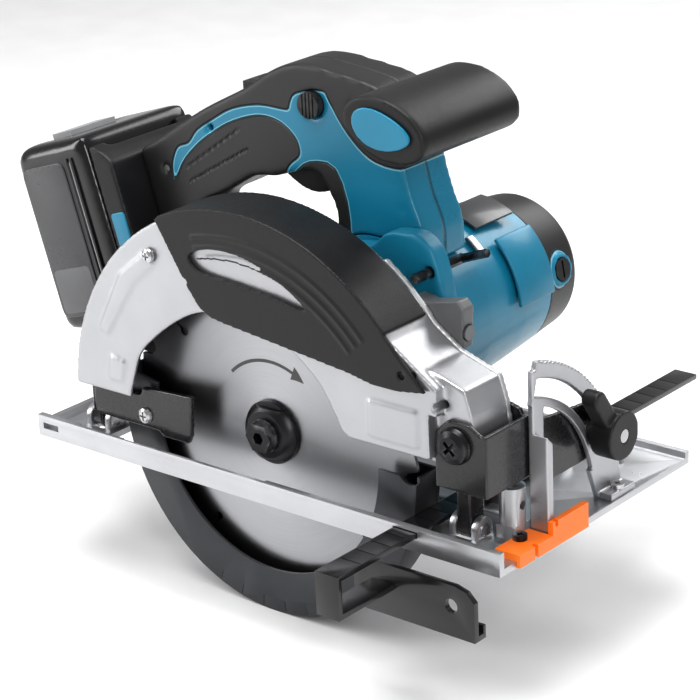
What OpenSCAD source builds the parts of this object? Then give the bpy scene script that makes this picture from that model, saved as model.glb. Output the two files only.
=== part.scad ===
// Cordless circular saw, right side towards -Y, forwards +X, up +Z.
// z = 0 is the sole, y = 0 the blade's mid-plane, x = 0 the arbor. All sizes in millimetres.

/* [Blade and arbor] */
// blade diameter over the tooth tips
blade_d = 165; // [150:0.5:185]
// blade body thickness
blade_t = 1.6; // [1:0.1:2.6]
// number of blade teeth
blade_teeth = 24; // [16:1:48]
// radius of the blade's bore
bore_r = 10; // [8:0.5:12]
// arbor height above the sole at full depth
arbor_h = 24.5; // [22:0.1:27]

/* [Base] */
// rear end of the base, behind the arbor
base_rear = 131.5; // [120:0.5:150]
// front end of the base, ahead of the arbor
base_front = 142.5; // [140:0.5:160]
// near edge of the base, from the blade plane
base_near = 23.5; // [22:0.5:30]
// far edge of the base, from the blade plane
base_far = 120.5; // [100:0.5:140]
// thickness of the base plate
plate_t = 3; // [2:0.1:3.6]
// height of the near rim
rim_h = 10.5; // [9.6:0.1:14]
// height of the guide boss
boss_h = 26; // [12:0.5:27]
// height of the bevel axis above the sole
bevel_z = 6.5; // [6:0.1:7.5]
// radius of the bevel clamp slot's centre line
bevel_r = 65; // [60:0.5:70]

/* [Upper case] */
// outer radius of the upper blade case
case_r = 107; // [100:0.5:112]
// near face of the case, from the blade plane
case_near = 19; // [17:0.5:21]
// wall of the case
case_t = 2.5; // [1.5:0.1:3]

/* [Lower guard] */
// outer radius of the lower guard
guard_r = 87; // [85:0.1:88]
// wall of the lower guard
guard_t = 1.6; // [1:0.1:2]
// inner radius of the guard's near wall
guard_in = 66; // [55:0.5:74]

/* [Depth pivot] */
// pivot's distance ahead of the arbor
piv_x = 115; // [114:0.5:116]
// pivot's height above the sole
piv_z = 50; // [49:0.5:52]
// pivot pin radius
piv_r = 5; // [3.5:0.1:6]
// centre-line radius of the depth guide's slot about the pivot
guide_r = 165; // [160:0.5:172]

/* [Motor and gears] */
// motor axis ahead of the arbor
mot_x = 33; // [32:0.1:33.4]
// motor axis height above the sole
mot_z = 70.5; // [70:0.1:70.9]
// motor housing radius beside the gearbox
mot_r = 42; // [40:0.5:43]
// motor housing radius at its far end
mot_end_r = 33.5; // [31:0.5:36]
// far end of the motor, from the blade plane
mot_end = 146; // [138:0.5:156]
// gear module
gm = 1.2; // [1.2:0.01:1.21]
// teeth on the motor pinion
z_pin = 10; // [10:1:10]
// teeth on the large intermediate gear
z_big = 43; // [43:1:43]
// teeth on the intermediate pinion
z_mid = 14; // [14:1:14]
// teeth on the spindle gear
z_out = 28; // [28:1:28]

/* [Handle] */
// mid-plane of the handle, from the blade plane
hand_y = 50; // [48:0.5:52]
// half width of the handle
hand_w = 15; // [13:0.5:15]
// front handle length across the saw
front_len = 64; // [55:0.5:72]
// trigger travel
trig_travel = 6; // [3:0.5:7]

/* [Battery] */
// battery pack width across the saw
pack_w = 73; // [62:0.5:80]
// battery pack height away from the handle
pack_h = 52; // [46:0.5:60]
// battery pack length along its rails
pack_l = 92; // [84:0.5:104]
// lean of the battery from upright, degrees
pack_tilt = 17; // [14:0.5:19]

/* [Part shown] */
// node to draw

/* [Hidden] */
blade_r = blade_d / 2;
flange_y = -blade_t / 2 - 0.05;
A = [0, arbor_h];
M = [mot_x, mot_z];
dAM = norm(M - A);
rA = gm * (z_mid + z_out) / 2;
rM = gm * (z_pin + z_big) / 2;
al = (rA * rA - rM * rM + dAM * dAM) / (2 * dAM);
hh = sqrt(max(0, rA * rA - al * al));
uAM = (M - A) / dAM;
L = A + al * uAM + hh * [-uAM[1], uAM[0]];
angAL = atan2(L[1] - A[1], L[0] - A[0]);
angLM = atan2(M[1] - L[1], M[0] - L[0]);
yn = hand_y - hand_w;
yf = hand_y + hand_w;
pk = [-122.5, 131.5];
pu = [cos(pack_tilt), sin(pack_tilt)];
pl = [sin(pack_tilt), -cos(pack_tilt)];
py0 = hand_y - pack_w / 2;
py1 = hand_y + pack_w / 2;
fh = [66, 173];
bolt_a = 28;
bolt = bevel_r * [cos(bolt_a), sin(bolt_a)] + [0, bevel_z];
lock_a = 182;
lock_p = [piv_x, piv_z] + guide_r * [cos(lock_a), sin(lock_a)];

// ---- helpers -------------------------------------------------------------

// closed Catmull-Rom curve through points
function sp(p, n = 5) = let (m = len(p)) [for (i = [0 : m - 1]) for (k = [0 : n - 1])
  let (a = p[(i + m - 1) % m], b = p[i], c = p[(i + 1) % m], d = p[(i + 2) % m], t = k / n)
  0.5 * (2 * b + (c - a) * t + (2 * a - 5 * b + 4 * c - d) * t * t + (3 * b - a - 3 * c + d) * t * t * t)];

// extrude a side view (x, z) between two y planes
module xz(y0, y1) translate([0, y1, 0]) rotate([90, 0, 0]) linear_extrude(y1 - y0) children();

// extrude a front view (y, z) between two x planes
module yz(x0, x1) translate([x0, 0, 0]) rotate([90, 0, 90]) linear_extrude(x1 - x0) children();

// cylinder along Y
module yc(p, r, y0, y1) translate([p[0], y0, p[1]]) rotate([-90, 0, 0]) cylinder(r = r, h = y1 - y0, $fn = 64);

// cylinder along X at (y, z)
module xc(p, r, x0, x1) translate([x0, p[0], p[1]]) rotate([0, 90, 0]) cylinder(r = r, h = x1 - x0, $fn = 48);

// body turned about Y at p from a list of (radius, y)
module yr(p, pts) translate([p[0], 0, p[1]]) rotate([-90, 0, 0]) rotate_extrude($fn = 96) polygon(pts);

// box from two corners
module bx(a, b) translate(a) cube(b - a);

// ring sector in the plane of the sketch
module sector(r0, r1, a0, a1, n = 28) polygon(concat(
  [for (i = [0 : n]) r1 * [cos(a0 + (a1 - a0) * i / n), sin(a0 + (a1 - a0) * i / n)]],
  [for (i = [n : -1 : 0]) r0 * [cos(a0 + (a1 - a0) * i / n), sin(a0 + (a1 - a0) * i / n)]]));

function inv(x) = tan(x) * 180 / PI - x;

// involute spur gear outline, one tooth centred on angle a
module gear2(z, a, bore) {
  r = gm * z / 2;
  pa = 25;
  rb = r * cos(pa);
  ra = r + 0.8 * gm;
  rf = r - 1.05 * gm;
  half = 90 / z - 0.03 / r * 180 / PI * 2;
  function hw(q) = half + inv(pa) - (q > rb ? inv(acos(rb / q)) : 0);
  qs = [for (k = [0 : 3]) max(rb, rf + 0.01) + (ra - max(rb, rf + 0.01)) * k / 3];
  wr = min(hw(qs[0]) + 0.6, 175 / z);
  difference() {
    rotate(a) polygon([for (i = [0 : z - 1]) let (c = 360 * i / z) each concat(
      [rf * [cos(c - wr), sin(c - wr)]],
      [for (q = qs) q * [cos(c - hw(q)), sin(c - hw(q))]],
      [for (k = [3 : -1 : 0]) qs[k] * [cos(c + hw(qs[k])), sin(c + hw(qs[k]))]],
      [rf * [cos(c + wr), sin(c + wr)]])]);
    circle(r = bore, $fn = 48);
  }
}

// pan screw along Y with a cross recess, head towards -Y
module pan(p, y, r = 3.6, len = 9, sh = 2) difference() {
  union() {
    yr(p, [[0, y - 2.2], [r * 0.6, y - 2.1], [r * 0.9, y - 1.4], [r, y - 0.4], [r, y], [sh, y], [sh, y + len], [0, y + len]]);
  }
  for (q = [0, 90]) translate([p[0], y - 2.3, p[1]]) rotate([0, q, 0]) bx([-r * 0.55, 0, -0.45], [r * 0.55, 1.5, 0.45]);
}

// side view of the whole case, arbor at A
module case_side() polygon(concat(
  [for (i = [0 : 44]) let (t = 176.6 - i * 3.16) A + case_r * [cos(t), sin(t)]],
  [[108, 74], [108, 41.5], [60.3, 41.5], [60.3, arbor_h + case_r * sin(176.6)]]));

// opening in the near wall of the case
module case_hole() polygon(concat([[60.3, 20], [60.3, 41.5]], [for (i = [0 : 34]) sp([[55.4, 44.5], [51.4, 52.4],
  [44.2, 63.3], [28, 76], [10, 82.8], [-8, 83.5], [-24.6, 81.7], [-42.5, 72.4], [-61.6, 56.4], [-68, 43.7],
  [-71.7, 33], [-72, 20], [60.3, 20]], 4)[i]], [[-71.7, 33], [-72, 20]]));

// inner space of the case
module case_room() polygon(concat([for (i = [0 : 44]) let (t = 180 - i * 3.6)
  A + (case_r - case_t) * [cos(t), sin(t)]], [[90, 20], [-case_r + case_t, 20]]));

// cover plate outline, follows the case rim
module cover_side() polygon(concat(
  [for (i = [0 : 22]) let (t = 115 - i * 3.35) A + (case_r + 1.2) * [cos(t), sin(t)]],
  [[104, 72.5], [99, 71.8], [88, 70.2], [76.6, 70.4], [63, 73], [30, 76.8], [-7.2, 81], [-14, 82], [-21.3, 85.5], [-28, 94]]));

// crescent window in the cover
module window_side() polygon(sp([[-26, 109], [-20, 103], [0, 101], [22, 99], [41, 96.5], [24, 108], [4, 114], [-14, 114]], 5));

// outline of the rear and centre handle
module hand_side() polygon(sp([[-113, 126], [-94.3, 139.1], [-66.7, 156.1], [-39.8, 169.8], [-27, 178], [-14.9, 183.6],
  [-2, 185.5], [12, 184.2], [26, 182.6], [38, 180], [46, 173], [49, 162], [51, 150], [55, 134], [61, 118], [60, 98],
  [50, 80], [30, 74], [-8, 76], [-44, 74], [-78, 68], [-92, 72], [-101, 88], [-108, 108]], 5));

// finger loop
module loop_side() polygon(sp([[-71, 110], [-53, 119.5], [-36, 129], [-25, 130.5], [-9, 135.5], [2, 136.5], [8, 129],
  [12, 119], [9, 103], [-4, 95], [-30, 92], [-56, 92], [-72, 99]], 5));

// front handle section
module front_side(g = 0) translate(fh) rotate(-14) scale([1.7, 1]) circle(r = 13.2 + g, $fn = 72);

// battery side view: a along the height, b along the length
function pp(a, b) = pk - pu * a + pl * b;

// ---- base ----------------------------------------------------------------

module base_plate() color([0.75, 0.76, 0.78]) difference() {
  union() {
    bx([-base_rear, -base_near, 0], [base_front, base_far, plate_t]);
    bx([-base_rear, -base_near, 0], [base_front, 3.2 - base_near, rim_h]);
    bx([-base_rear, base_far - 3, 0], [base_front, base_far, 6]);
    bx([-base_rear, -base_near, 0], [3 - base_rear, base_far, 7]);
    bx([-base_rear, 96, 0], [122, 98.5, 6]);
    bx([-101, 20.8, 0], [122, 23.3, 3.7]);
    for (x = [-117, -104.6, 102.6, 114.2]) {
      bx([x, -5.5, 0], [x + 3.2, 5.5, bevel_z]);
      xc([0, bevel_z], 5.5, x, x + 3.2);
    }
    for (y = [30, 76]) bx([82, y, 0], [104, y + 8, 10.6]);
    translate([125.5, 9, 0]) cylinder(r = 5.8, h = boss_h, $fn = 48);
    bx([121, 3.2, 0], [130.6, 14.8, 9]);
  }
  bx([-97, 3.4 - base_near, -1], [86.6, 20.4, 20]);
  bx([-105, 1.8 - base_near, rim_h - 1.6], [12, 3.5 - base_near, rim_h + 1]);
  bx([-75.4, 1.1 - base_near, 5.4], [-63.4, 3.5 - base_near, rim_h + 1]);
  for (x = [-113.8, 105.8]) bx([x, -6, -1], [x + 8.4, 6, 20]);
  for (x = [-118, 101.6]) xc([0, bevel_z], 3, x, x + 17);
  bx([86.2, -base_near - 1, 6.1], [99.3, 100, 9.2]);
  translate([125.5, 9, -1]) cylinder(r = 3.6, h = boss_h + 2, $fn = 32);
  xc([9, 18], 2.1, 125, 134);
  translate([134.8, 1.3, -1]) cylinder(r = 2.1, h = 20, $fn = 32);
  translate([-122, 50, -1]) cylinder(r = 3, h = 20, $fn = 32);
  for (y = [20, 69]) translate([138.3, y, -1]) cylinder(r = 2.1, h = 20, $fn = 32);
  translate([92.7, 34, 9]) cylinder(r = 2.1, h = 3, $fn = 32);
  bx([-128, -base_near - 1, 4], [-118, 4 - base_near, 7]);
}

module bevel_pins() color([0.6, 0.6, 0.62]) for (x = [-117.6, 102])
  xc([0, bevel_z], 3, x, x + 16);

module bevel_quadrant() color([0.72, 0.73, 0.75]) difference() {
  union() {
    yz(131.6, 134.6) difference() {
      union() {
        translate([0, bevel_z]) sector(bevel_r - 8, bevel_r + 11.5, 10, 78);
        polygon([[12.6, plate_t], [24, plate_t], [20.5, 40], [20, 76], [12.6, 78]]);
        polygon([[54, 18], [60, plate_t], [78, plate_t], [75, 22]]);
      }
      translate([0, bevel_z]) sector(bevel_r - 4, bevel_r + 4, bolt_a - 4, bolt_a + 49);
      translate([0, bevel_z]) for (i = [0 : 27]) rotate(16 + i * 2.2) translate([bevel_r + 10.6, -0.55]) square([3, 1.1]);
    }
    yz(131.6, 141.6) polygon([[12.6, plate_t], [16.6, plate_t], [16.6, 46], [12.6, 50]]);
    bx([131.6, 12.6, plate_t], [141.6, 24, plate_t + 3]);
    bx([131.6, 60, plate_t], [141.6, 78, plate_t + 3]);
  }
  for (y = [20, 69]) translate([138.3, y, 0]) cylinder(r = 2.1, h = 12, $fn = 32);
}

module quadrant_screws() color([0.55, 0.56, 0.58]) for (y = [20, 69]) translate([138.3, y, 0]) difference() {
  union() {
    translate([0, 0, 0.4]) cylinder(r = 2.05, h = 6, $fn = 32);
    translate([0, 0, plate_t + 3]) cylinder(r = 3.1, h = 2, $fn = 32);
  }
  for (q = [0, 90]) rotate(q) bx([-1.8, -0.4, plate_t + 4], [1.8, 0.4, plate_t + 6]);
}

module sight_guide() color([0.95, 0.35, 0.08]) difference() {
  union() {
    bx([131.5, -12, plate_t], [143.5, 11.8, plate_t + 3.2]);
    bx([142.6, -12, 0.3], [144.4, 38, plate_t + 3.2]);
    bx([141.8, 11.8, plate_t], [144.4, 38, 12]);
  }
  translate([134.8, 1.3, 0]) cylinder(r = 2.2, h = 20, $fn = 32);
  bx([142, -1.2, -1], [145, 1.2, 7]);
  bx([142, 13.6, 9.4], [145, 15.6, 13]);
}

module sight_screw() color([0.1, 0.1, 0.11]) translate([134.8, 1.3, 0]) difference() {
  union() {
    translate([0, 0, 0.4]) cylinder(r = 2.05, h = 7, $fn = 32);
    translate([0, 0, plate_t + 3.2]) cylinder(r = 3.2, h = 2.4, $fn = 40);
  }
  for (q = [0, 90]) rotate(q) bx([-1.8, -0.45, plate_t + 4.4], [1.8, 0.45, plate_t + 6]);
}

module fence_clamp_screw() color([0.2, 0.2, 0.21]) translate([92.7, 34, 9.25]) {
  cylinder(r = 2.05, h = 5, $fn = 32);
  translate([0, 0, 1.4]) cylinder(r = 5, h = 3, $fn = 48);
  bx([-8, -1.2, 4.4], [8, 1.2, 13]);
}

// ---- rip fence -------------------------------------------------------------

module rip_fence() color([0.07, 0.07, 0.075]) {
  difference() {
    union() {
      xz(-39.5, -36.8) polygon([[77, -24], [141, -24], [141, -6], [137, -2], [131, -0.4], [84, -0.4], [77, -5]]);
      xz(-39.5, -32) polygon([[77, -24], [141, -24], [141, -21.6], [77, -21.6]]);
      bx([77, -33.6, -24], [141, -32, -18]);
      bx([86.7, -73, 6.5], [98.9, 196, 8.8]);
      bx([86.7, -75.4, -11], [98.9, -73, 8.8]);
      bx([86.7, -75.4, -11], [98.9, -39.5, -8.6]);
      bx([86.7, -39.5, -11], [98.9, -36.8, -8.6]);
    }
    yc([129, -10], 3.3, -45, -30);
    for (y = [-60 : 10 : 180]) bx([87.5, y, 8.5], [98.1, y + 0.5, 9]);
  }
}

// ---- tilting front plate ---------------------------------------------------

module front_angle_plate() color([0.06, 0.06, 0.065]) difference() {
  union() {
    xz(-15.7, -13.4) polygon([[104, 29], [131, 29], [131, 50], [128, 57], [122, 60.5], [111, 60.5], [105, 55], [104, 40]]);
    xz(14.4, 16.8) polygon([[104, 29], [131, 29], [131, 50], [126, 59], [118, 61], [109, 59], [104, 50]]);
    bx([104, -15.7, 29], [131, 16.8, 31.4]);
    yz(128.6, 131) polygon([[-15.7, 29], [18, 29], [28, 22], [62, 22], [72, 30], [70, 44], [60, 48], [24, 52], [14, 57], [-15.7, 57]]);
    yz(106.3, 113.7) polygon([[-5.2, bevel_z], [5.2, bevel_z], [5.2, 30], [-5.2, 30]]);
    xc([0, bevel_z], 5.2, 106.3, 113.7);
  }
  yc([piv_x, piv_z], piv_r + 0.02, -20, 20);
  xc([0, bevel_z], 3.05, 100, 120);
  xc(bolt, 3.02, 120, 140);
}

module depth_pivot_screw() color([0.08, 0.08, 0.085]) difference() {
  union() {
    yc([piv_x, piv_z], piv_r, -16, 18.5);
    yr([piv_x, piv_z], [[0, -20.2], [5, -20], [7.4, -18.6], [8.2, -16.6], [8.2, -15.75], [0, -15.75]]);
    yc([piv_x, piv_z], piv_r + 1.5, 16.85, 18.5);
  }
  for (q = [45, 135]) translate([piv_x, -20.5, piv_z]) rotate([0, q, 0]) bx([-3.6, 0, -0.8], [3.6, 2.6, 0.8]);
}

module bevel_bolt() color([0.55, 0.56, 0.58]) {
  xc(bolt, 3, 127.2, 150);
  xc(bolt, 5.5, 125, 128.5);
}

module bevel_knob() color([0.07, 0.07, 0.075]) difference() {
  union() {
    xc(bolt, 7.5, 134.9, 139);
    xc(bolt, 11, 139, 150);
    translate([140, bolt[0], bolt[1]]) rotate([35, 0, 0]) bx([0, -4, 0], [8, 4, 25]);
    translate([140, bolt[0], bolt[1]]) rotate([35, 0, 0]) translate([0, 0, 25]) rotate([0, 90, 0]) cylinder(r = 4, h = 8, $fn = 32);
  }
  xc(bolt, 3.04, 130, 152);
}

// ---- tilting rear bracket ----------------------------------------------------

module rear_bracket() color([0.06, 0.06, 0.065]) difference() {
  union() {
    xz(-12.2, -9.6) polygon([[-103, 14], [-62, 14], [-58.7, 11.8], [-43, 12], [-41.2, 16], [-39.4, 35.6],
      [-70.6, 34], [-72, 29.8], [-100, 29.8], [-103, 26]]);
    xz(-12.2, 26.8) polygon([[-103, 14], [-91.5, 14], [-90.6, 20], [-92, 29.8], [-100, 29.8], [-103, 26]]);
    for (y = [-6 : 5 : 20]) xz(y, y + 1.4) polygon([[-104.4, 14], [-102, 14], [-102, 28], [-104.4, 25]]);
    bx([-112, -5.2, bevel_z], [-106.3, 5.2, 24]);
    bx([-112, -5.2, 18], [-100, 5.2, 24]);
    xc([0, bevel_z], 5.2, -113.4, -106.3);
    xz(24.4, 26.8) polygon([[-103, 14], [-40, 14], [-40, 26], [-44, 36], [-58, 36], [-92, 28]]);
    xz(24.4, 26.8) translate([piv_x, piv_z]) sector(guide_r - 7.5, guide_r + 7.5, 155.4, 192);
  }
  translate([piv_x, 0, piv_z]) xz(20, 30) sector(guide_r - 3.1, guide_r + 3.1, 157.4, 186.4);
  xc([0, bevel_z], 3.05, -120, -98);
  yc([-69.4, 20.3], 2.1, -20, -8);
}

module bracket_screw() color([0.5, 0.51, 0.53]) pan([-69.4, 20.3], -12.22, 4, 2.6, 2.05);

// ---- saw body ------------------------------------------------------------------

module blade_case() color([0.74, 0.75, 0.77]) difference() {
  union() {
    difference() {
      xz(-case_near, 10.95) case_side();
      xz(case_t - case_near, 8.6) case_room();
    }
    xz(-13.1, 10.95) polygon([[90, 42], [102, 38], [106, 34], [116, 34.5], [123, 44], [123.4, 54], [122, 63], [118.5, 74], [100, 80]]);
    xz(-case_near - 0.9, 0.1 - case_near) polygon([[-88, 62], [-83, 60], [-64, 88], [-50, 100], [-56, 104], [-72, 91]]);
    xz(-case_near - 0.9, 0.1 - case_near) polygon([[72, 46], [98, 46], [98, 62], [72, 62]]);
    xz(-case_near - 0.9, 0.1 - case_near) polygon([[-84, 38], [-76, 38], [-73, 48], [-82, 50]]);
  }
  xz(-case_near - 2, -13.1) polygon([[103.6, 20], [150, 20], [150, 90], [108.3, 78], [108.3, 62], [103.6, 62]]);
  xz(-12, 7) translate(A) circle(r = 90, $fn = 96);
  xz(6, 12) translate(A) circle(r = 94, $fn = 96);
  xz(-case_near - 2, -8) case_hole();
  yc([piv_x, piv_z], piv_r + 0.05, -20, 20);
  for (p = [[-52, 104], [96, 78], [108, 66]]) yc(p, 1.9, -22, 14);
}

module case_cover() color([0.05, 0.05, 0.055]) difference() {
  union() {
    xz(-case_near - 2.6, -case_near - 0.62) difference() {
      cover_side();
      window_side();
    }
    for (k = [0 : 2]) xz(-case_near - 3.1, -case_near - 2.5) intersection() {
      translate(A) sector(86 + 5 * k, 87.2 + 5 * k, 42, 104, 30);
      cover_side();
    }
    xz(-case_near - 0.7, 8) translate(A) sector(case_r + 0.05, case_r + 1.9, 40, 114, 40);
    xz(-case_near - 2.6, -case_near - 0.6) translate(A) sector(case_r - 1, case_r + 1.9, 40, 114, 40);
  }
  xz(-case_near - 4, -case_near - 1) intersection() {
    window_side();
    translate(A) circle(r = 60);
  }
  for (p = [[-30, 96], [92, 78]]) yc(p, 1.9, -30, 14);
}

module case_screws() color([0.3, 0.3, 0.31]) {
  for (p = [[-52, 104]]) pan(p, -case_near - 0.95, 3.4, 20, 1.85);
}

module gear_housing() color([0.68, 0.69, 0.71]) difference() {
  union() {
    xz(11, 14) {
      difference() {
        translate(A) circle(r = 84, $fn = 96);
        translate([-100, -100]) square([200, 104.2]);
        translate([-100, -100]) square([64, 131]);
        translate([36, -100]) square([64, 131]);
      }
      intersection() {
        translate(A) sector(60, 130, 6, 57, 30);
        union() {
          case_side();
          polygon([[90, 42], [102, 38], [106, 34], [116, 34.5], [123, 44], [123.4, 54], [122, 63], [118.5, 74], [100, 80]]);
        }
      }
      polygon([[90, 36], [116, 34.5], [123, 44], [100, 60], [60, 60], [70, 36]]);
    }
    yc(A, 19, 6.4, 11.2);
    xz(13.9, 24) {
      translate(A) circle(r = 20.4, $fn = 64);
      translate(L) circle(r = 31, $fn = 64);
      translate(M) circle(r = 26, $fn = 64);
    }
    xz(23.9, 34.6) {
      translate(A) circle(r = 20.4, $fn = 64);
      translate(L) circle(r = 31.4, $fn = 64);
      polygon(sp([[-26, 60], [-18, 82], [2, 101], [25, 110], [40.6, 113], [49.3, 119.9], [58, 121.5], [65, 121.5],
        [71, 118.5], [75, 113], [79.5, 96.5], [80, 74], [66, 50], [34, 40], [0, 44], [-20, 48]], 5));
    }
    xz(27.4, 34.6) polygon([[-58, 38], [-44, 34], [-16, 36], [-16, 66], [-30, 62], [-52, 54]]);
  }
  xz(17.2, 26) {
    translate(A) circle(r = 18.5, $fn = 64);
    translate(L) circle(r = 12, $fn = 64);
  }
  xz(25.9, 35) {
    translate(A) circle(r = 16.5, $fn = 64);
    translate(L) circle(r = 28.4, $fn = 64);
    translate(M) circle(r = 15, $fn = 64);
  }
  yc(A, 8.3, 0, 20);
  yc(A, 14.02, 6.5, 15.02);
  yc(L, 4.05, 15, 20);
  yc([piv_x, piv_z], piv_r + 0.05, 0, 20);
  yc(lock_p, 3.05, 20, 40);
  yc([-15, 56], 1.9, 20, 40);
  bx([62, 20, 82], [95, 24.2, 130]);
  xc([29, 74], 4.05, -40, -11);
  yc([72, 106], 2.7, 20, 40);
}

module spindle_bearing() color([0.62, 0.63, 0.65]) difference() {
  yc(A, 14, 6.6, 15);
  yc(A, 8.05, 0, 20);
  yr(A, [[10, 6.5], [12, 6.5], [12, 7], [10, 7]]);
}

module motor_housing() color([0.0, 0.42, 0.46]) difference() {
  yr(M, [[0, 34.8], [mot_r, 34.8], [mot_r, 44], [mot_r - 1.2, 66], [mot_r - 3.6, 96], [mot_r - 5.8, 118], [0, 118]]);
  yr(M, [[0, 38], [mot_r - 4, 38], [mot_r - 5, 66], [mot_r - 7, 96], [mot_r - 9, 119], [0, 119]]);
  yc(M, 9.02, 30, 40);
  yc(L, 4.05, 30, 37);
  yc(A, 17, 30, 37);
  for (a = [200 : 14 : 300]) translate([M[0], 0, M[1]]) rotate([0, -a, 0]) bx([30, 104, -1.4], [50, 113, 1.4]);
  for (a = [0, 180]) yc(M + (mot_r - 7) * [cos(a + 40), sin(a + 40)], 1.5, 114, 119);
}

module motor_end_cap() color([0.07, 0.07, 0.075]) difference() {
  union() {
    yr(M, [[0, 118.1], [mot_r - 5.8, 118.1], [mot_end_r + 1.2, 130], [mot_end_r, mot_end - 5], [mot_end_r - 2.5, mot_end - 1.5],
      [mot_end_r - 7, mot_end], [0, mot_end]]);
    for (s = [-1, 1]) translate([M[0], 128, M[1]]) rotate([0, 170 + 90 * s, 0]) cylinder(r = 7.5, h = mot_end_r + 3, $fn = 48);
  }
  yr(M, [[0, 117], [mot_r - 9, 117], [mot_end_r - 3, 130], [mot_end_r - 4, mot_end - 5], [0, mot_end - 5]]);
  yc(M, 8.02, 130, mot_end - 2.5);
  for (a = [30 : 20 : 350]) translate([M[0], 0, M[1]]) rotate([0, -a, 0]) bx([13, mot_end - 7, -1.6], [24, mot_end + 1, 1.6]);
  for (s = [-1, 1]) translate([M[0], 128, M[1]]) rotate([0, 170 + 90 * s, 0]) cylinder(r = 5.52, h = 60, $fn = 48);
}

module brush_caps() color([0.08, 0.08, 0.085]) for (s = [-1, 1]) translate([M[0], 128, M[1]]) rotate([0, 170 + 90 * s, 0])
  difference() {
    translate([0, 0, 12.6]) cylinder(r = 5.5, h = mot_end_r - 9.4, $fn = 48);
    translate([0, 0, mot_end_r + 3.4]) bx([-4.2, -0.6, -2], [4.2, 0.6, 3]);
  }

module stator_magnets() color([0.2, 0.2, 0.22]) xz(66, 98) translate(M) for (a = [0, 180])
  sector(26, mot_r - 9.2, a - 60, a + 60, 24);

module motor_bearings() color([0.62, 0.63, 0.65]) {
  difference() {
    yc(M, 9, 34.9, 40);
    yc(M, 4.05, 30, 45);
  }
  difference() {
    yc(M, 8, mot_end - 9.5, mot_end - 3.6);
    yc(M, 4.05, 120, 150);
  }
}

module lamp_block() color([0.3, 0.31, 0.33]) difference() {
  union() {
    xz(14.1, 22) polygon([[78, 84], [84, 74.5], [97, 79], [98, 97], [95, 100.5], [78, 97]]);
    xz(14.1, 23.9) polygon([[66, 84], [78.2, 84], [78.2, 97], [70, 98], [66, 94]]);
  }
  translate([99, 18, 86]) rotate([0, -90, 0]) cylinder(r = 3.4, h = 5, $fn = 40);
}

module lamp_lens() color([0.9, 0.92, 0.95]) translate([98.4, 18, 86]) rotate([0, -90, 0]) cylinder(r = 3.35, h = 4, $fn = 40);

module hex_key() color([0.07, 0.07, 0.075]) {
  translate([72, 14.6, 106]) rotate([-90, 0, 0]) cylinder(r = 2.3, h = 34, $fn = 6);
  translate([72, 46.6, 106]) rotate([0, 70, 0]) cylinder(r = 2, h = 16, $fn = 6);
}

module handle_body(y0, y1) difference() {
  xz(y0, y1) difference() {
    hand_side();
    loop_side();
  }
  yc(M, mot_r + 0.2, 30, 70);
  xz(30, 70) front_side(0.1);
  bx([-25, hand_y - 7.6, 112], [8.4, hand_y + 7.6, 156]);
  bx([-46, hand_y - 8.1, 154], [-8, hand_y + 8.1, 171]);
  yc([1, 168], 6.06, 30, 70);
  for (p = [[-92, 124], [-62, 148], [24, 170], [50, 128], [-84, 80], [-24, 84]]) yc(p, 1.9, 30, 70);
  xz(30, 70) polygon([pp(-13.1, -24), pp(-13.1, 100), pp(60, 100), pp(60, -24)]);
}

module handle_near() color([0.0, 0.42, 0.46]) handle_body(yn, hand_y - 0.05);

module handle_far() color([0.0, 0.42, 0.46]) handle_body(hand_y, yf);

module grip_pads() color([0.03, 0.03, 0.032]) {
  for (y = [yn - 0.9, yf + 0.02]) xz(y, y + 0.88) polygon(sp([[-88, 136], [-60, 154], [-38, 165], [-24, 172], [-20, 160],
    [-40, 146], [-56, 130], [-76, 122], [-88, 124]], 4));
}

module front_handle() color([0.05, 0.05, 0.055]) difference() {
  xz(hand_y + 18 - front_len, hand_y + 22) front_side(0);
  for (y = [24, 70]) difference() {
    xz(y, y + 0.8) front_side(1);
    xz(y - 1, y + 2) front_side(-0.6);
  }
}

module handle_cap_near() color([0.0, 0.42, 0.46]) xz(hand_y + 16.4 - front_len, hand_y + 17.95 - front_len)
  front_side(-2.2);

module handle_cap_far() color([0.0, 0.42, 0.46]) xz(hand_y + 22.05, hand_y + 24.4) front_side(-2.2);

module battery_socket() color([0.09, 0.095, 0.1]) difference() {
  xz(py0 + 2, py1 - 2) polygon([pp(-13, 6), pp(-8, 1), pp(0, -4), pp(0, pack_l - 8), pp(-8, pack_l - 8),
    pp(-13, pack_l - 16)]);
  xz(hand_y - 24.2, hand_y + 24.2) polygon([pp(-3, -20), pp(1, -20), pp(1, pack_l - 10.5), pp(-3, pack_l - 10.5)]);
}

module terminal_block() color([0.75, 0.6, 0.3]) for (y = [-12, 0, 12])
  translate([0, hand_y + y, 0]) xz(-0.5, 0.5) polygon([pp(-2.95, 30), pp(-2.95, 46), pp(-0.3, 46), pp(-0.3, 30)]);

module switch_body() color([0.12, 0.12, 0.13]) bx([-45.9, hand_y - 8, 156.1], [-8.1, hand_y + 8, 170.9]);

module handle_screws() color([0.3, 0.3, 0.31]) for (p = [[-92, 124], [24, 170], [50, 128], [-84, 80], [-24, 84]])
  yc(p, 1.85, yn + 1, yf - 1);

// ---- spindle ----------------------------------------------------------------

module spindle() color([0.7, 0.7, 0.72]) difference() {
  union() {
    yc(A, 8, -0.4, 25.6);
    yc(A, 9.4, 4.9, 6.2);
  }
  yc(A, 3.52, -3, 16);
}

module driven_gear() color([0.6, 0.6, 0.62]) xz(17.5, 25.4) translate(A) gear2(z_out, angAL, 8.02);

module inner_flange() color([0.66, 0.67, 0.69]) difference() {
  yc(A, 17, blade_t / 2 + 0.01, 4.85);
  yc(A, 8.02, -2, 6);
}

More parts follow.
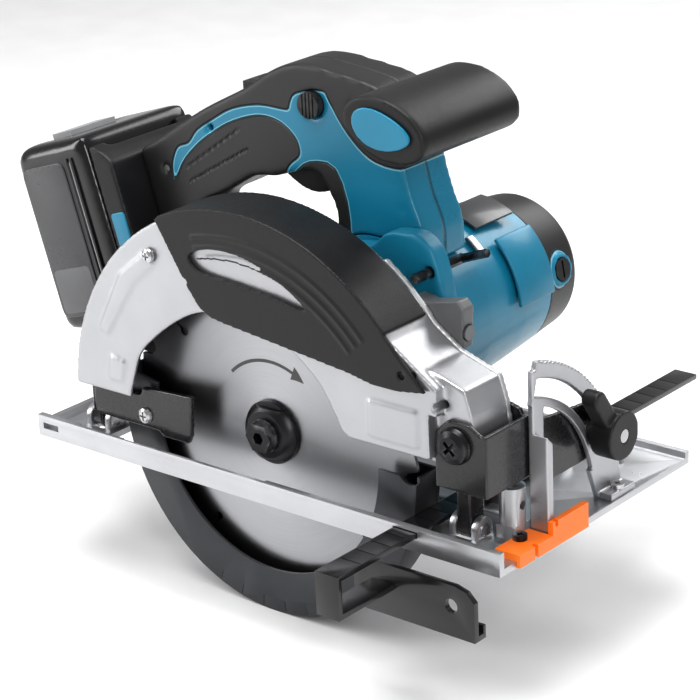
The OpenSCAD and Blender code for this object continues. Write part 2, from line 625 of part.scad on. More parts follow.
module blade() color([0.78, 0.79, 0.81]) difference() {
  xz(-blade_t / 2, blade_t / 2) translate(A) difference() {
    polygon([for (i = [0 : blade_teeth - 1]) let (c = -360 * i / blade_teeth, s = 360 / blade_teeth) each [
      blade_r * [cos(c), sin(c)], (blade_r - 5.6) * [cos(c - 1.4), sin(c - 1.4)],
      (blade_r - 7.4) * [cos(c - s * 0.24), sin(c - s * 0.24)], (blade_r - 6.4) * [cos(c - s * 0.36), sin(c - s * 0.36)],
      (blade_r - 1.6) * [cos(c - s * 0.52), sin(c - s * 0.52)], (blade_r - 1.2) * [cos(c - s * 0.7), sin(c - s * 0.7)],
      (blade_r - 0.5) * [cos(c - s * 0.86), sin(c - s * 0.86)]]]);
    circle(r = bore_r, $fn = 64);
    for (a = [54, 144, 234, 324]) rotate(a) {
      translate([64, 0]) circle(r = 2.3, $fn = 24);
      translate([64, -0.6]) square([30, 1.2]);
    }
  }
}

module outer_flange() color([0.7, 0.71, 0.73]) difference() {
  union() {
    yr(A, [[3.6, -6.6], [11, -6.6], [13.2, -5.4], [15, -2.8], [15, flange_y],
      [bore_r - 0.02, flange_y], [bore_r - 0.02, flange_y + 0.4], [3.6, flange_y + 0.4]]);
  }
  bx([-20, -7, arbor_h + 12.4], [20, -3, arbor_h + 20]);
  bx([-20, -7, arbor_h - 20], [20, -3, arbor_h - 12.4]);
}

module blade_bolt() color([0.25, 0.25, 0.26]) difference() {
  union() {
    yc(A, 3.5, -7, 15);
    translate([0, -11.6, arbor_h]) rotate([-90, 0, 0]) cylinder(r = 7.4, h = 4, $fn = 6);
    yc(A, 8, -7.8, -6.65);
  }
  translate([0, -12, arbor_h]) rotate([-90, 0, 0]) cylinder(r = 3, h = 4, $fn = 6);
}

// ---- intermediate shaft and armature -------------------------------------------

module layshaft() color([0.66, 0.66, 0.68]) {
  yc(L, 4, 15.2, 37);
  xz(17.5, 25.4) translate(L) gear2(z_mid, angAL + 180 + 180 / z_mid, 4.0);
}

module layshaft_gear() color([0.56, 0.56, 0.58]) xz(27.4, 32.4) translate(L) gear2(z_big, angLM, 4.02);

module armature_shaft() color([0.66, 0.66, 0.68]) {
  yc(M, 4, 33, mot_end - 3.8);
  yc(M, 2.6, 26.8, 33);
  xz(27.4, 32.4) translate(M) gear2(z_pin, angLM + 180 + 180 / z_pin, 2.6);
}

module armature_core() color([0.4, 0.38, 0.36]) xz(66, 98) translate(M) difference() {
  circle(r = 25.3, $fn = 96);
  circle(r = 4.02, $fn = 48);
  for (a = [0 : 30 : 330]) rotate(a) translate([22, -1.2]) square([6, 2.4]);
}

module commutator() color([0.72, 0.43, 0.24]) xz(118.5, 133) translate(M) difference() {
  circle(r = 11.8, $fn = 64);
  circle(r = 4.02, $fn = 48);
}

module cooling_fan() color([0.1, 0.1, 0.11]) {
  difference() {
    yc(M, 31, 46, 48);
    yc(M, 4.02, 40, 60);
  }
  translate([0, 0, 0]) xz(48, 58) translate(M) for (a = [0 : 30 : 330]) rotate(a) translate([12, -0.8]) square([18.5, 1.6]);
}

// ---- lower guard ------------------------------------------------------------------

module lower_guard() color([0.3, 0.31, 0.33]) difference() {
  union() {
    difference() {
      xz(-7.6, 9.2) translate(A) sector(19.5, guard_r, -190, 0, 60);
      xz(guard_t - 7.6, 8.8 - guard_t) translate(A) circle(r = guard_r - guard_t, $fn = 128);
      xz(-20, 0) translate(A) circle(r = guard_in, $fn = 96);
    }
    xz(8.8 - guard_t, 9.2) translate(A) circle(r = 26, $fn = 64);
  }
  yc(A, 19.05, 0, 12);
  xz(-10, -5) translate(A + [guard_r - 3, 4.4]) circle(r = 7.6, $fn = 40);
  for (i = [0 : 8]) translate([0, 0, arbor_h]) rotate([0, 130 + i * 9, 0]) bx([-0.3, -8, guard_r - 6], [0.3, -7.3, guard_r - 1]);
}

module guard_lever() color([0.06, 0.06, 0.065]) {
  xz(9.25, 10.7) translate(A) sector(70, 91.5, 158, 169, 8);
  xz(9.25, 22) translate(A) sector(86.5, 91.5, 160, 167, 6);
}

// ---- controls -----------------------------------------------------------------------

module trigger() color([0.05, 0.05, 0.055]) difference() {
  xz(hand_y - 7.4, hand_y + 7.4) polygon(concat([[-24, 149.5], [8.2, 149.5], [8.2, 140]],
    [for (t = [0 : 9]) let (s = t / 9) [8.2 - 31 * s, 133.5 - 9 * sin(180 * (0.15 + 0.75 * s))]], [[-24, 137]]));
  xz(hand_y - 5.4, hand_y + 5.4) polygon([[-20, 160], [3, 160], [3, 142], [-20, 140]]);
}

module lock_off() color([0.04, 0.04, 0.045]) difference() {
  yc([1, 168], 6, yn - 3, yf + 3);
  for (k = [-3 : 2 : 3]) bx([1 + k - 0.4, yn - 4, 160], [1 + k + 0.4, yn - 2.4, 176]);
}

module shaft_lock() color([0.04, 0.04, 0.045]) xc([29, 74], 4, -32, -14);

module depth_lever() color([0.06, 0.06, 0.065]) {
  yc(lock_p, 3, 22, 36.6);
  yc(lock_p, 6.2, 21.6, 24.2);
  difference() {
    union() {
      yc(lock_p, 7, 34.8, 41);
      xz(36, 41) polygon([lock_p + [-5, 4], lock_p + [5, 4], lock_p + [-22, -24], lock_p + [-30, -18]]);
    }
  }
}

// ---- battery --------------------------------------------------------------------------

module battery_pack() color([0.04, 0.04, 0.045]) difference() {
  union() {
    xz(py0, py1) polygon([pp(0.3, -3), pp(2, -9), pp(pack_h - 6, -9), pp(pack_h, -4), pp(pack_h, pack_l - 13), pp(pack_h - 4, pack_l - 9),
      pp(6, pack_l - 9), pp(0.3, pack_l - 14)]);
    xz(hand_y - 24, hand_y + 24) polygon([pp(-2.8, 20), pp(0.5, 20), pp(0.5, pack_l - 16), pp(-2.8, pack_l - 16)]);
  }
  for (y = [-12, 0, 12]) translate([0, hand_y + y, 0]) xz(-0.8, 0.8) polygon([pp(-4, 19), pp(-4, pack_l - 2), pp(-0.2, pack_l - 2), pp(-0.2, 19)]);
  xz(hand_y - 15.1, hand_y + 15.1) polygon([pp(pack_h - 22, -12), pp(pack_h - 22, -4.9), pp(pack_h - 8.1, -4.9), pp(pack_h - 8.1, -12)]);
  for (s = [py0 - 1, py1 - 0.8]) xz(s, s + 1.8) polygon([pp(6, 0), pp(6, pack_l - 16), pp(pack_h - 36, pack_l - 16), pp(pack_h - 36, 0)]);
}

module battery_rails() color([0.8, 0.8, 0.82]) for (s = [py0 - 0.02, py1 - 0.78]) xz(s, s + 0.8)
  polygon([pp(13.9, 2), pp(13.9, pack_l - 18), pp(12.4, pack_l - 18), pp(12.4, 2)]);

module battery_button() color([0.45, 0.46, 0.48]) xz(hand_y - 15, hand_y + 15)
  polygon([pp(pack_h - 21.9, -11), pp(pack_h - 21.9, -7), pp(pack_h - 8.2, -7), pp(pack_h - 8.2, -11)]);

// ---- nodes ---------------------------------------------------------------------------

base_plate();
bevel_pins();
bevel_quadrant();
quadrant_screws();
sight_guide();
sight_screw();
fence_clamp_screw();
rip_fence();
front_angle_plate();
depth_pivot_screw();
bevel_knob();
bevel_bolt();
rear_bracket();
bracket_screw();
blade_case();
case_cover();
case_screws();
gear_housing();
spindle_bearing();
motor_housing();
motor_end_cap();
brush_caps();
stator_magnets();
motor_bearings();
lamp_block();
lamp_lens();
hex_key();
handle_near();
handle_far();
grip_pads();
front_handle();
handle_cap_near();
handle_cap_far();
battery_socket();
terminal_block();
switch_body();
handle_screws();
spindle();
driven_gear();
inner_flange();
blade();
outer_flange();
blade_bolt();
layshaft();
layshaft_gear();
armature_shaft();
armature_core();
commutator();
cooling_fan();
lower_guard();
guard_lever();
trigger();
lock_off();
shaft_lock();
depth_lever();
battery_pack();
battery_rails();
battery_button();
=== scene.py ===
import math
import bmesh
import bpy
from mathutils import Matrix, Vector


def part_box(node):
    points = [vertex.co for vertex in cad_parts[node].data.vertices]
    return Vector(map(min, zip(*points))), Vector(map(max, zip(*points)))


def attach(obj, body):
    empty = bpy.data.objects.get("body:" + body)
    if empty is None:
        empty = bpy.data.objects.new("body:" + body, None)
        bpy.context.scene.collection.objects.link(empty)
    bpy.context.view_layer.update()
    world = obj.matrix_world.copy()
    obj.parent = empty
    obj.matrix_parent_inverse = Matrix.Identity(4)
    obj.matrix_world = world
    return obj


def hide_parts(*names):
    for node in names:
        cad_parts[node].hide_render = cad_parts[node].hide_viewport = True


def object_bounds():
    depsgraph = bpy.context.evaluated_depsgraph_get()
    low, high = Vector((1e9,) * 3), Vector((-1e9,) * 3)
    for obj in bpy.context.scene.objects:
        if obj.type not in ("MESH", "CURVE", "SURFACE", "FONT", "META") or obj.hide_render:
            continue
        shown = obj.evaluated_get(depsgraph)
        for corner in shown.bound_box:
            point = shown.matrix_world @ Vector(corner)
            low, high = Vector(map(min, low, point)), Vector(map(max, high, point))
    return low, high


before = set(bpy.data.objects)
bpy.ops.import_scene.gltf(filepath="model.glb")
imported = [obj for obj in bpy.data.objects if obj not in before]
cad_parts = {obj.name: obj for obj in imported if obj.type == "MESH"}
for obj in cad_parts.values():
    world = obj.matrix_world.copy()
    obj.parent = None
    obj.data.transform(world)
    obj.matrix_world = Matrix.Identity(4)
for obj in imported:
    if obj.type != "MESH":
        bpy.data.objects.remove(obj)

CAD_BOX = [list(v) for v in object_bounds()]
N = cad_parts
MM = 0.001
ARBOR = Vector((0, 0, 24.5)) * MM
SEAM_Y = 50.0  # the plane where the handle halves meet
BRUSH_Y = 128.0  # the brush caps' axis
TEAL = (0.004, 0.185, 0.30)
BLACK = (0.010, 0.010, 0.011)


# ---- materials -------------------------------------------------------------

class Graph:
    """A small helper that adds shader nodes and links them."""

    def __init__(self, name):
        self.mat = bpy.data.materials.new(name)
        self.mat.use_nodes = True
        self.tree = self.mat.node_tree
        self.shader = self.tree.nodes["Principled BSDF"]
        self.coord = self.add("ShaderNodeTexCoord").outputs["Object"]

    def add(self, kind, **facts):
        node = self.tree.nodes.new(kind)
        for key, value in facts.items():
            setattr(node, key, value)
        return node

    def put(self, node, **inputs):
        for key, value in inputs.items():
            socket = node.inputs[key.replace("_", " ")]
            if isinstance(value, bpy.types.NodeSocket):
                self.tree.links.new(value, socket)
            else:
                socket.default_value = value
        return node

    def math(self, op, a, b=0.0, c=0.0):
        node = self.add("ShaderNodeMath", operation=op)
        for socket, value in zip(node.inputs, (a, b, c)):
            if isinstance(value, bpy.types.NodeSocket):
                self.tree.links.new(value, socket)
            else:
                socket.default_value = value
        return node.outputs[0]

    def noise(self, scale, detail=3.0, rough=0.5, vector=None):
        node = self.add("ShaderNodeTexNoise")
        self.put(node, Scale=scale, Detail=detail, Roughness=rough)
        self.tree.links.new(vector or self.coord, node.inputs["Vector"])
        return node.outputs["Fac"]

    def range(self, value, a, b, c, d):
        node = self.add("ShaderNodeMapRange")
        self.tree.links.new(value, node.inputs["Value"])
        for key, v in zip(("From Min", "From Max", "To Min", "To Max"), (a, b, c, d)):
            node.inputs[key].default_value = v
        return node.outputs["Result"]

    def mix(self, fac, a, b):
        node = self.add("ShaderNodeMix", data_type="RGBA")
        for socket, value in ((node.inputs[0], fac), (node.inputs[6], a), (node.inputs[7], b)):
            if isinstance(value, bpy.types.NodeSocket):
                self.tree.links.new(value, socket)
            else:
                socket.default_value = value if isinstance(value, float) else (*value, 1.0)
        return node.outputs[2]

    def bump(self, height, strength, distance, normal=None):
        node = self.add("ShaderNodeBump")
        self.put(node, Strength=strength, Distance=distance, Height=height)
        if normal is not None:
            self.tree.links.new(normal, node.inputs["Normal"])
        return node.outputs["Normal"]

    def edges(self):
        return self.range(self.add("ShaderNodeNewGeometry").outputs["Pointiness"], 0.52, 0.60, 0.0, 1.0)

    def link(self, value, name):
        self.tree.links.new(value, self.shader.inputs[name])


def finish_basic(g, color, rough, metallic, grain, depth, vary=0.12, worn=None, coat=0.0, spec=0.5):
    """Colour variation, worn edges, roughness patches and a fine surface grain."""
    cloud = g.noise(28.0, 4.0)
    fine = g.noise(grain, 2.0)
    dark = tuple(c * (1.0 - vary) for c in color)
    light = tuple(min(1.0, c * (1.0 + vary)) for c in color)
    base = g.mix(g.range(cloud, 0.35, 0.65, 0.0, 1.0), dark, light)
    if worn:
        scuff = g.math("MULTIPLY", g.edges(), g.range(g.noise(140.0), 0.45, 0.6, 0.0, 0.55))
        base = g.mix(scuff, base, worn)
    g.link(base, "Base Color")
    spread = g.math("ADD", g.range(cloud, 0.3, 0.7, rough * 0.88, rough * 1.12),
                    g.range(g.noise(420.0), 0.3, 0.7, -0.03, 0.03))
    g.link(spread, "Roughness")
    g.shader.inputs["Metallic"].default_value = metallic
    g.shader.inputs["Coat Weight"].default_value = coat
    g.shader.inputs["Coat Roughness"].default_value = 0.12
    g.shader.inputs["Specular IOR Level"].default_value = spec
    g.link(g.bump(fine, 0.35, depth), "Normal")


def plain(name, color, rough, metallic=0.0, grain=1800.0, depth=0.00006, **more):
    g = Graph(name)
    finish_basic(g, color, rough, metallic, grain, depth, **more)
    return g.mat


def polar(g, centre):
    """Radius and angle about an axis along Y through a centre."""
    shift = g.add("ShaderNodeVectorMath", operation="SUBTRACT")
    g.tree.links.new(g.coord, shift.inputs[0])
    shift.inputs[1].default_value = centre
    split = g.add("ShaderNodeSeparateXYZ")
    g.tree.links.new(shift.outputs[0], split.inputs[0])
    x, z = split.outputs["X"], split.outputs["Z"]
    radius = g.math("SQRT", g.math("ADD", g.math("MULTIPLY", x, x), g.math("MULTIPLY", z, z)))
    return radius, g.math("ARCTAN2", z, x)


def radial_steel(name, color, rough, centre):
    """Steel turned about an axis along Y: fine rings, and a painted highlight that fans out, mixing a lit
    and a shaded copy of the steel in the base colour.
    """
    g = Graph(name)
    radius, angle = polar(g, centre)
    ring = g.add("ShaderNodeCombineXYZ")
    g.tree.links.new(g.math("MULTIPLY", radius, 1500.0), ring.inputs[0])
    g.tree.links.new(g.math("MULTIPLY", angle, 1.5), ring.inputs[1])
    lines = g.noise(1.0, 3.0, 0.6, ring.outputs[0])
    # painted highlight: a fan of light and shade painted into the base colour around the axis
    fan = g.math("ABSOLUTE", g.math("SINE", g.math("ADD", angle, g.math("MULTIPLY", radius, 2.0))))
    painted_highlight_mix = g.range(fan, 0.0, 1.0, 0.0, 1.0)
    dark = tuple(c * 0.5 for c in color)
    base = g.mix(painted_highlight_mix, dark, color)
    base = g.mix(g.range(lines, 0.35, 0.65, 0.0, 0.14), base, tuple(c * 0.7 for c in color))
    g.link(base, "Base Color")
    g.shader.inputs["Metallic"].default_value = 1.0
    g.link(g.range(lines, 0.3, 0.7, rough - 0.02, rough + 0.05), "Roughness")
    g.shader.inputs["Anisotropic"].default_value = 0.6
    tangent = g.add("ShaderNodeTangent", direction_type="RADIAL", axis="Y")
    g.tree.links.new(tangent.outputs[0], g.shader.inputs["Tangent"])
    g.link(g.bump(lines, 0.06, 0.00002), "Normal")
    return g


def gearcase():
    """Cast metal towards the blade, teal plastic on the upper part behind it."""
    g = Graph("gearcase_mix")
    finish_basic(g, (0.5, 0.505, 0.515), 0.42, 0.6, 1500.0, 0.00008, vary=0.05)
    split = g.add("ShaderNodeSeparateXYZ")
    g.tree.links.new(g.coord, split.inputs[0])
    mask = g.math("MULTIPLY", g.range(split.outputs["Y"], 0.0232, 0.0236, 0.0, 1.0),
                  g.range(g.math("ADD", split.outputs["X"], split.outputs["Z"]), 0.128, 0.1284, 0.0, 1.0))
    old = g.shader.inputs["Base Color"].links[0].from_socket
    g.link(g.mix(mask, old, TEAL), "Base Color")
    g.link(g.math("SUBTRACT", 0.6, g.math("MULTIPLY", mask, 0.6)), "Metallic")
    return g.mat


def arc_arrow(g, r0, width, a0, a1, centre):
    """A painted arc with an arrow head on a disc about an axis along Y."""
    radius, angle = polar(g, centre)
    off = g.math("ABSOLUTE", g.math("SUBTRACT", radius, r0))
    tip = a0 + 0.22
    taper = g.range(angle, a0, tip, width * 0.1, width * 2.2)
    head = g.math("LESS_THAN", angle, tip)
    shaft = g.math("MULTIPLY", g.math("SUBTRACT", 1.0, head), width * 0.5)
    half = g.math("ADD", g.math("MULTIPLY", head, taper), shaft)
    inside = g.math("LESS_THAN", off, half)
    inside = g.math("MULTIPLY", inside, g.math("GREATER_THAN", angle, a0))
    return g.math("MULTIPLY", inside, g.math("LESS_THAN", angle, a1))


def zoned(name, a, b, rough_a, rough_b, lip_highlight):
    """Two plastics split by the 'zone' attribute, with a painted highlight on a thin lip just inside the
    split, painted shade in the channel along the split and painted shade in the grooves.
    """
    g = Graph(name)
    zone = g.add("ShaderNodeAttribute", attribute_name="zone").outputs["Fac"]
    groove = g.add("ShaderNodeAttribute", attribute_name="groove").outputs["Fac"]
    side = g.range(zone, -0.12, 0.12, 0.0, 1.0)
    cloud = g.noise(24.0, 4.0)
    shade_a = g.mix(cloud, tuple(c * 0.86 for c in a), tuple(c * 1.12 for c in a))
    shade_b = g.mix(cloud, tuple(c * 0.7 for c in b), tuple(c * 1.25 for c in b))
    base = g.mix(side, shade_b, shade_a)
    # painted highlight: a bright band of the lip colour about 0.75 mm in from the split, on the first
    # plastic, where the lip catches the light
    near = g.range(g.math("ABSOLUTE", g.math("SUBTRACT", zone, 0.75)), 0.12, 0.4, 1.0, 0.0)
    base = g.mix(g.math("MULTIPLY", near, 0.7), base, lip_highlight)
    # painted shade: the channel along the split is painted near-black, as well as bumped down below
    deep = g.range(g.math("ABSOLUTE", zone), 0.15, 0.55, 1.0, 0.0)
    base = g.mix(g.math("MULTIPLY", deep, 0.8), base, (0.004, 0.006, 0.007))
    # painted shade: the grip grooves and the seam of the halves are painted near-black, as well as bumped
    # down below
    base = g.mix(g.math("MULTIPLY", groove, 0.75), base, (0.004, 0.004, 0.004))
    g.link(base, "Base Color")
    rough = g.math("ADD", g.math("MULTIPLY", side, rough_a - rough_b), rough_b)
    g.link(g.math("ADD", rough, g.range(cloud, 0.3, 0.7, -0.04, 0.04)), "Roughness")
    grain = g.math("MULTIPLY", g.noise(2600.0, 2.0), g.math("SUBTRACT", 1.15, side))
    first = g.bump(grain, 0.4, 0.00008)
    low = g.math("MULTIPLY", g.math("MAXIMUM", deep, groove), -1.0)
    g.link(g.bump(low, 1.0, 0.0006, first), "Normal")
    return g.mat


M = {
    "teal": plain("teal_plastic", TEAL, 0.34, grain=900.0, depth=0.00003, vary=0.08, coat=0.15),
    "black": plain("black_plastic", BLACK, 0.4, grain=2400.0, depth=0.00008,
                   worn=(0.06, 0.06, 0.06), spec=0.32),
    "rubber": plain("black_rubber", (0.012, 0.0115, 0.0115), 0.42,
                    grain=3000.0, depth=0.00012, spec=0.32),
    "gloss": plain("gloss_black", (0.006, 0.006, 0.0065), 0.2,
                   grain=300.0, depth=0.00001, coat=0.25, spec=0.4),
    "black_metal": plain("black_enamel", (0.012, 0.012, 0.013), 0.26, grain=700.0, depth=0.00004,
                         worn=(0.12, 0.12, 0.125), coat=0.3, spec=0.4),
    "fence": plain("fence_enamel", (0.008, 0.008, 0.009), 0.22,
                   grain=600.0, depth=0.00002, coat=0.3, spec=0.4),
    "oxide": plain("black_oxide", (0.03, 0.03, 0.032), 0.33, 0.85, grain=900.0, worn=(0.35, 0.35, 0.36)),
    "cast": plain("cast_silver", (0.43, 0.435, 0.45), 0.34, 0.8, grain=1500.0, depth=0.00008, vary=0.05),
    "base": plain("base_silver", (0.50, 0.505, 0.52), 0.33, 0.85, grain=1100.0, depth=0.00005, vary=0.05),
    "steel": plain("plain_steel", (0.5, 0.5, 0.51), 0.28, 1.0, grain=900.0),
    "guard": plain("guard_grey", (0.045, 0.047, 0.052), 0.36, 0.5, grain=1600.0, depth=0.00005),
    "orange": plain("orange_plastic", (0.9, 0.19, 0.012), 0.36, grain=900.0, vary=0.06),
    "brass": plain("brass", (0.6, 0.42, 0.16), 0.3, 1.0),
    "copper": plain("copper", (0.6, 0.27, 0.14), 0.3, 1.0),
    "chrome": plain("bright_metal", (0.3, 0.3, 0.31), 0.2, 1.0, depth=0.00001),
    "grey": plain("grey_plastic", (0.12, 0.122, 0.126), 0.38, grain=1500.0),
    "pale": plain("pale_plastic", (0.26, 0.265, 0.27), 0.3, grain=900.0),
    "lens": plain("lamp_lens", (0.06, 0.065, 0.07), 0.08, depth=0.00001, coat=0.8),
    "iron": plain("iron", (0.14, 0.13, 0.13), 0.5, 0.7),
    "label": plain("dark_label", (0.035, 0.036, 0.038), 0.3, grain=300.0, depth=0.00001, coat=0.3),
}
cover = Graph("cover_black")
finish_basic(cover, (0.0105, 0.0105, 0.011), 0.42, 0.0, 1500.0, 0.00022,
             worn=(0.05, 0.05, 0.05), spec=0.34)
M["cover"] = cover.mat
M["turned"] = radial_steel("turned_steel", (0.58, 0.585, 0.6), 0.26, ARBOR).mat
blade_g = radial_steel("blade_steel", (0.40, 0.405, 0.42), 0.3, ARBOR)
paint = arc_arrow(blade_g, 0.0335, 0.0016, 0.95, 2.35, ARBOR)
old = blade_g.shader.inputs["Base Color"].links[0].from_socket
blade_g.link(blade_g.mix(paint, old, (0.05, 0.05, 0.05)), "Base Color")
blade_g.link(blade_g.math("SUBTRACT", 1.0, paint), "Metallic")
M["blade"] = blade_g.mat

PLAIN = {
    "steel": ["bevel_pins", "quadrant_screws", "bevel_bolt", "case_screws", "spindle_bearing",
              "motor_bearings", "handle_screws", "bracket_screw", "spindle", "driven_gear", "layshaft",
              "layshaft_gear", "armature_shaft"],
    "oxide": ["outer_flange", "sight_screw", "fence_clamp_screw", "depth_pivot_screw", "blade_bolt",
              "hex_key"],
    "turned": ["inner_flange"],
    "blade": ["blade"], "brass": ["terminal_block"], "copper": ["commutator"],
    "iron": ["stator_magnets", "armature_core"], "chrome": ["battery_rails"], "lens": ["lamp_lens"],
    "black": ["cooling_fan", "brush_caps", "switch_body", "shaft_lock", "lock_off", "guard_lever",
              "bevel_knob", "trigger", "motor_end_cap"],
    "black_metal": ["rip_fence", "front_angle_plate", "depth_lever", "rear_bracket"],
    "cast": ["gear_housing", "bevel_quadrant", "blade_case"], "base": ["base_plate"],
    "guard": ["lower_guard"], "orange": ["sight_guide"], "cover": ["case_cover"],
    "rubber": ["grip_pads", "front_handle"],
    "teal": ["motor_housing", "handle_near", "handle_far", "handle_cap_near", "handle_cap_far"],
    "gloss": ["battery_pack", "battery_socket"], "grey": ["lamp_block"], "pale": ["battery_button"],
}
for key, names in PLAIN.items():
    for name in names:
        N[name].data.materials.clear()
        N[name].data.materials.append(M[key])


# ---- mesh helpers ------------------------------------------------------------

def evaluated(obj):
    """Apply an object's modifiers to its mesh."""
    graph = bpy.context.evaluated_depsgraph_get()
    mesh = bpy.data.meshes.new_from_object(obj.evaluated_get(graph))
    obj.modifiers.clear()
    obj.data = mesh


def copy_of(name, nodes):
    """One new object holding copies of the CAD nodes' meshes."""
    bm = bmesh.new()
    for n in nodes:
        bm.from_mesh(N[n].data)
    bmesh.ops.remove_doubles(bm, verts=bm.verts, dist=1e-6)
    mesh = bpy.data.meshes.new(name)
    bm.to_mesh(mesh)
    bm.free()
    obj = bpy.data.objects.new(name, mesh)
    bpy.context.scene.collection.objects.link(obj)
    return obj


def place(obj, body, mat, nodes):
    """Give a piece its material and the body it rides on, and hide the nodes it stands in for."""
    obj.data.materials.clear()
    obj.data.materials.append(mat)
    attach(obj, body)
    if nodes:
        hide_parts(*nodes)
    return obj


def moulded(name, nodes, voxel, passes, body, mat):
    """A copy of CAD nodes with its edges rounded as moulding or casting rounds them."""
    obj = copy_of(name, nodes)
    remesh = obj.modifiers.new("remesh", "REMESH")
    remesh.mode = "VOXEL"
    remesh.voxel_size = voxel
    soft = obj.modifiers.new("soft", "SMOOTH")
    soft.factor = 0.5
    soft.iterations = passes
    evaluated(obj)
    obj.data.shade_smooth()
    return place(obj, body, mat, nodes)


def bevelled(name, nodes, width, body, mat, segments=2):
    """A copy of CAD nodes with a small machined edge break."""
    obj = copy_of(name, nodes)
    bm = bmesh.new()
    bm.from_mesh(obj.data)
    bmesh.ops.dissolve_limit(bm, angle_limit=math.radians(2.0), verts=bm.verts, edges=bm.edges)
    bm.to_mesh(obj.data)
    bm.free()
    bevel = obj.modifiers.new("bevel", "BEVEL")
    bevel.width = width
    bevel.segments = segments
    bevel.limit_method = "ANGLE"
    bevel.angle_limit = math.radians(28)
    evaluated(obj)
    obj.data.shade_smooth()
    obj.data.set_sharp_from_angle(angle=math.radians(35))
    return place(obj, body, mat, nodes)


def spline(points, count):
    """Closed smooth curve through 2-D points."""
    out = []
    size = len(points)
    for i in range(size):
        a, b, c, d = (Vector(points[(i + k - 1) % size]) for k in range(4))
        for k in range(count):
            t = k / count
            out.append(0.5 * (2 * b + (c - a) * t + (2 * a - 5 * b + 4 * c - d) * t * t
                              + (3 * b - a - 3 * c + d) * t * t * t))
    return out


def distance(p, a, b):
    """Distance from a point to a segment."""
    ab = b - a
    t = max(0.0, min(1.0, (p - a).dot(ab) / max(ab.dot(ab), 1e-12)))
    return (p - a - ab * t).length


def inside(p, loop):
    """Whether a point lies in a closed loop."""
    hit = False
    for a, b in zip(loop, loop[1:] + loop[:1]):
        if (a.y > p.y) != (b.y > p.y) and p.x < (b.x - a.x) * (p.y - a.y) / (b.y - a.y) + a.x:
            hit = not hit
    return hit


def signed(p, loop):
    """Distance to a loop, positive inside it."""
    near = min(distance(p, a, b) for a, b in zip(loop, loop[1:] + loop[:1]))
    return near if inside(p, loop) else -near


# ---- handle --------------------------------------------------------------------

TEAL_EDGE = [(-87, 121), (-87, 128), (-83, 136), (-76, 139), (-70, 146), (-59, 153), (-47, 159.5),
             (-31, 163.5), (-17, 163.5), (-13, 164), (-12, 167), (-8, 172), (7, 175), (11, 171),
             (18, 161), (27, 152), (36, 147), (50, 146), (66, 150), (74, 120), (74, 60), (-30, 60),
             (-20, 96), (14, 98), (20, 118), (13, 140), (-2, 141), (-12, 134), (-18, 131),
             (-14, 138), (-8, 143), (-8, 148), (-11, 152.5), (-18, 157), (-27, 158.6), (-37, 157),
             (-51, 151.5), (-67, 141.5), (-79, 130.5), (-85, 121)]
edge = spline(TEAL_EDGE, 3)
GROOVES = [((-78, 127), (-44, 150)), ((-76, 120.5), (-39, 141.5))]
handle = moulded("handle_shell", ["handle_near", "handle_far"], 0.0013, 14, "saw",
                 zoned("handle_plastics", TEAL, (0.013, 0.0125, 0.0125), 0.3, 0.44, (0.25, 0.55, 0.62)))


def mark(obj, zone_of, groove_of):
    """Write where each colour lies and where the moulded lines run."""
    zone = obj.data.attributes.new("zone", "FLOAT", "POINT")
    groove = obj.data.attributes.new("groove", "FLOAT", "POINT")
    for i, v in enumerate(obj.data.vertices):
        zone.data[i].value = max(-6.0, min(6.0, zone_of(v)))
        groove.data[i].value = groove_of(v)


def side(v):
    """A vertex in the side view, in millimetres."""
    return Vector((v.co.x / MM, v.co.z / MM))


def handle_line(v):
    """How deep the grip grooves and the seam of the halves run at a vertex, 0 to 1."""
    near = min(distance(side(v), Vector(a), Vector(b)) for a, b in GROOVES)
    return max(0.0, 1.0 - near / 0.9, 1.0 - abs(v.co.y / MM - SEAM_Y) / 0.5)


mark(handle, lambda v: signed(side(v), edge), handle_line)
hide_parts("grip_pads")
moulded("grip_front", ["front_handle"], 0.001, 12, "saw", M["rubber"])
cap = moulded("grip_cap", ["handle_cap_near"], 0.0005, 8, "saw", M["teal"])
lo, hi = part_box("handle_cap_near")
mid = (lo + hi) / 2
for v in cap.data.vertices:
    lean = 1.0 - 0.25 * (v.co.x - mid.x) / (hi.x - mid.x)
    v.co.x = mid.x + (v.co.x - mid.x) * 0.84
    v.co.z = mid.z + (v.co.z - mid.z) * 0.74 * lean + 0.0006 * (1 - lean)
moulded("battery_shell", ["battery_pack"], 0.0016, 60, "battery", M["gloss"])
moulded("socket_shell", ["battery_socket"], 0.0012, 8, "saw", M["black"])
moulded("case_shell", ["blade_case"], 0.0009, 5, "saw", M["cast"])
moulded("gearcase_shell", ["gear_housing"], 0.0010, 7, "saw", gearcase())
moulded("trigger_shell", ["trigger"], 0.0006, 8, "trigger", M["black"])
moulded("quadrant_cast", ["bevel_quadrant"], 0.0005, 4, "base", M["cast"])
moulded("angle_plate", ["front_angle_plate"], 0.0006, 4, "tilt_front", M["black_metal"])
moulded("bracket_plate", ["rear_bracket"], 0.0006, 4, "rear_bracket", M["black_metal"])
motor_lo, motor_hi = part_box("motor_housing")
MOTOR = (motor_lo + motor_hi) / 2
end_cap = moulded("end_cap_shell", ["motor_end_cap"], 0.0008, 4, "saw",
                  zoned("end_cap_plastics", TEAL, BLACK, 0.3, 0.4, (0.25, 0.55, 0.62)))
BRUSH_TILT = math.radians(10)
BRUSH = Vector((math.cos(BRUSH_TILT), math.sin(BRUSH_TILT)))
COLLAR_R = 9.2


def collar(v):
    """Millimetres inside the teal collar around the front brush cap."""
    flat = Vector((v.co.x - MOTOR.x, v.co.z - MOTOR.z))
    off = math.hypot((flat - BRUSH * flat.dot(BRUSH)).length, v.co.y - BRUSH_Y * MM) / MM
    return COLLAR_R - off if flat.dot(BRUSH) > 0 else -6.0


